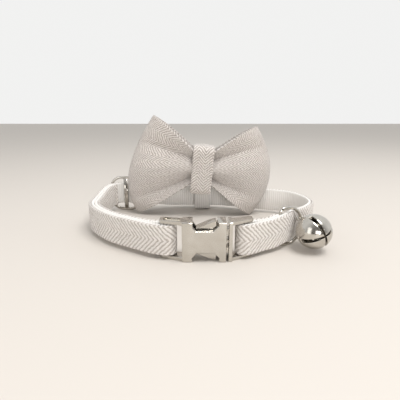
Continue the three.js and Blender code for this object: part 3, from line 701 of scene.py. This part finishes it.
bow_turn = (Matrix.Rotation(math.radians(BOW_TURN), 3, "Z")
            @ Matrix.Rotation(math.radians(BOW_TILT), 3, "Y"))


def mixed(first, second, share):
    return first + (second - first) * share


def eased(value, low, high):
    share = min(max((value - low) / (high - low), 0), 1)
    return share * share * (3 - 2 * share)


def wing_fold(wing, height):
    share = (height + 1) / 2
    bend = [2 * wing["reach"][axis] - 0.5 * (wing["top"][axis] + wing["bottom"][axis])
            for axis in (0, 1)]
    point = [(1 - share) ** 2 * wing["bottom"][axis] + 2 * share * (1 - share) * bend[axis]
             + share ** 2 * wing["top"][axis] for axis in (0, 1)]
    return point[0] * BOW_HALF_WIDE, point[1] * BOW_HALF_HIGH


def bow_half_thick(out, height):
    swell = math.sin(math.pi * min(1, 0.12 + out * 0.95))
    belly = mixed(PINCH_HALF_THICK, BOW_FULLNESS, max(swell, 0) ** 0.8)
    closing = math.sqrt(max(0, 1 - out ** 5))
    ridge = abs(math.cos(math.pi * height / (2 * VALLEY_HEIGHT))) ** 0.8
    fade = (1 - out) ** mixed(0.8, 0.3, eased(height, -0.3, 0.3))
    fold = (ridge - 0.55) * VALLEY_DEPTH * fade
    edge = 1 - 0.12 * height * height * out
    return (belly * edge + fold) * closing


def bow_point(turn, height):
    angle = 2 * math.pi * turn
    wing = WINGS[-1 if math.cos(angle) < 0 else 1]
    out = abs(math.cos(angle)) ** 0.9
    end_x, end_z = wing_fold(wing, height)
    knot_share = min(1, (KNOT_WIDTH / 2 + 0.6 * MM) / abs(end_x))
    flare = eased(out, 0.6 * knot_share, 1.0)
    opened = mixed(max(0, (out - knot_share) / (1 - knot_share)), flare, 0.25)
    up = mixed(height * (PINCH_TOP if height > 0 else PINCH_BOTTOM), end_z, opened ** 0.86)
    side = -1 if math.sin(angle) < 0 else 1
    crumple = 0.35 * MM * noise.noise(Vector((end_x * out, side * 0.01, up)) * 140)
    thick = side * (bow_half_thick(out, height) + crumple * (1 - out))
    return bow_middle + bow_turn @ Vector((end_x * out, thick, up))


bow_cloth = brushed_herringbone("brushed herringbone bow cloth", "#E0DAD5", "#A1978F",
                                column=3.4, pitch=1.4, slope=1.0)
bow_mesh = laid_grid(300, 96, lambda along, across: bow_point(along, 2 * across - 1),
                     (142.0, 2 * BOW_HALF_HIGH / MM))
bow = add_piece("bow_loop_cloth", bow_mesh, bow_cloth)
cloth = bow.modifiers.new("cloth thickness", "SOLIDIFY")
cloth.thickness = BOW_CLOTH_THICK
cloth.offset = -1
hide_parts("bow_loop")


# Knot
# A folded band of the same cloth, wrapped round the gathered middle and closed at the back.
# Its herringbone runs upright, and its long edges are rolled under.
KNOT_WALL = 1.3 * MM
KNOT_HALF_DEEP = 7.15 * MM
KNOT_HALF_HIGH = 11.2 * MM
KNOT_CORNER = 3 * MM


def rounded_path(half_deep, half_high, corner, share):
    """Point and outward direction on a rounded rectangle, from the middle of its front."""
    straight = [(half_high - corner), math.pi / 2 * corner, 2 * (half_deep - corner)]
    lengths = [straight[0], straight[1], straight[2], straight[1], 2 * straight[0], straight[1],
               straight[2], straight[1], straight[0]]
    left = (share % 1.0) * sum(lengths)
    for index, length in enumerate(lengths):
        if left <= length or index == len(lengths) - 1:
            break
        left -= length
    deep, high = half_deep - corner, half_high - corner
    if index % 2:
        centre = [(-deep, high), (deep, high), (deep, -high), (-deep, -high)][index // 2]
        angle = math.pi - math.pi / 2 * (index // 2) - left / corner
        away = Vector((0, math.cos(angle), math.sin(angle)))
        return Vector((0, *centre)) + away * corner, away
    if index in (0, 8):
        return Vector((0, -half_deep, left if index == 0 else left - high)), Vector((0, -1, 0))
    if index == 4:
        return Vector((0, half_deep, high - left)), Vector((0, 1, 0))
    if index == 2:
        return Vector((0, left - deep, half_high)), Vector((0, 0, 1))
    return Vector((0, deep - left, -half_high)), Vector((0, 0, -1))


def cloth_ring(middle, turn, half_deep, half_high, corner, wall, width, columns, rows, relief):
    """A closed band of cloth; relief(around, across) moves its outer skin, in mm."""
    girth = 2 * (width + wall)
    perimeter = 4 * (half_deep + half_high) - 8 * corner + 2 * math.pi * corner

    def place(around, across):
        point, away = rounded_path(half_deep - wall / 2, half_high - wall / 2,
                                   corner - wall / 2, around)
        out, along = flat_section(across - 0.5, wall / 2, width / 2)
        puff = relief(around * perimeter / MM, along / MM) * MM * (out > 0)
        return middle + turn @ (point + away * (out + puff) + Vector((-along, 0, 0)))

    return laid_grid(columns, rows, place, (perimeter / MM, girth / MM)), perimeter


def knot_relief(around, along):
    soft = 0.18 * noise.noise(Vector((around * 0.25, along * 0.35, 1.0)))
    return soft + 0.22 * math.cos(along / 4.8 * math.pi / 2)


knot_cloth = brushed_herringbone("brushed herringbone knot cloth", "#E0DAD5", "#A1978F",
                                 column=3.3, pitch=1.4, slope=1.0, offset=1.15)
knot_mesh, knot_girth = cloth_ring(bow_middle, bow_turn, KNOT_HALF_DEEP, KNOT_HALF_HIGH,
                                   KNOT_CORNER, KNOT_WALL, KNOT_WIDTH, 150, 64, knot_relief)
knot = add_piece("bow_knot_band", knot_mesh, knot_cloth)
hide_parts("bow_knot")


# Keeper
# A loop of flat white knitted elastic behind the knot, which the rear of the strap runs through.
# It is ribbed along its length and its join is hidden under the knot.
KEEPER_WALL = 0.9 * MM
KEEPER_CORNER = 1.6 * MM
CORD_PITCH = 1.0
THREAD_PITCH = 0.6
keeper_low, keeper_high = (Vector(corner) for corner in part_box("bow_keeper"))
keeper_middle = (keeper_low + keeper_high) / 2
keeper_half = (keeper_high - keeper_low) / 2


def keeper_relief(around, along):
    return 0.05 * math.cos(2 * math.pi * along / CORD_PITCH)


knitted_elastic, tree, shader = finish_named("knitted elastic", "#F0ECE6", 0.9)
shader.inputs["Sheen Weight"].default_value = 0.2
pattern = node(tree, "UVMap", uv_map="pattern").outputs["UV"]
# Cords 1 mm apart along the loop, with a knitted thread over them every 0.6 mm
axes = node(tree, "SeparateXYZ", {0: pattern}).outputs
cord = node(tree, "Math", {0: node(tree, "Math", {0: axes["Y"], 1: 2 * math.pi / CORD_PITCH},
                                   operation="MULTIPLY").outputs[0]}, operation="COSINE").outputs[0]
thread = node(tree, "Math", {0: node(tree, "Math", {0: axes["X"], 1: 2 * math.pi / THREAD_PITCH},
                                     operation="MULTIPLY").outputs[0]},
              operation="COSINE").outputs[0]
knit = node(tree, "Math", {0: thread, 1: 0.4, 2: cord}, operation="MULTIPLY_ADD").outputs[0]
bump = node(tree, "Bump", {"Height": knit, "Strength": 0.5, "Distance": 0.08 * MM})
tree.links.new(bump.outputs[0], shader.inputs["Normal"])
tone = node(tree, "MapRange", {"Value": knit, "From Min": -1.4, "From Max": 1.4}).outputs[0]
shade = node(tree, "Mix", {"Factor": tone, "A": linear("#CBC8C4"), "B": linear("#E3E1DE")},
             data_type="RGBA").outputs["Result"]
tree.links.new(shade, shader.inputs["Base Color"])
keeper_mesh, keeper_girth = cloth_ring(keeper_middle, Matrix.Identity(3), keeper_half.y,
                                       keeper_half.z, KEEPER_CORNER, KEEPER_WALL,
                                       2 * keeper_half.x, 120, 48, keeper_relief)
keeper = add_piece("elastic_keeper", keeper_mesh, knitted_elastic)
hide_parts("bow_keeper")
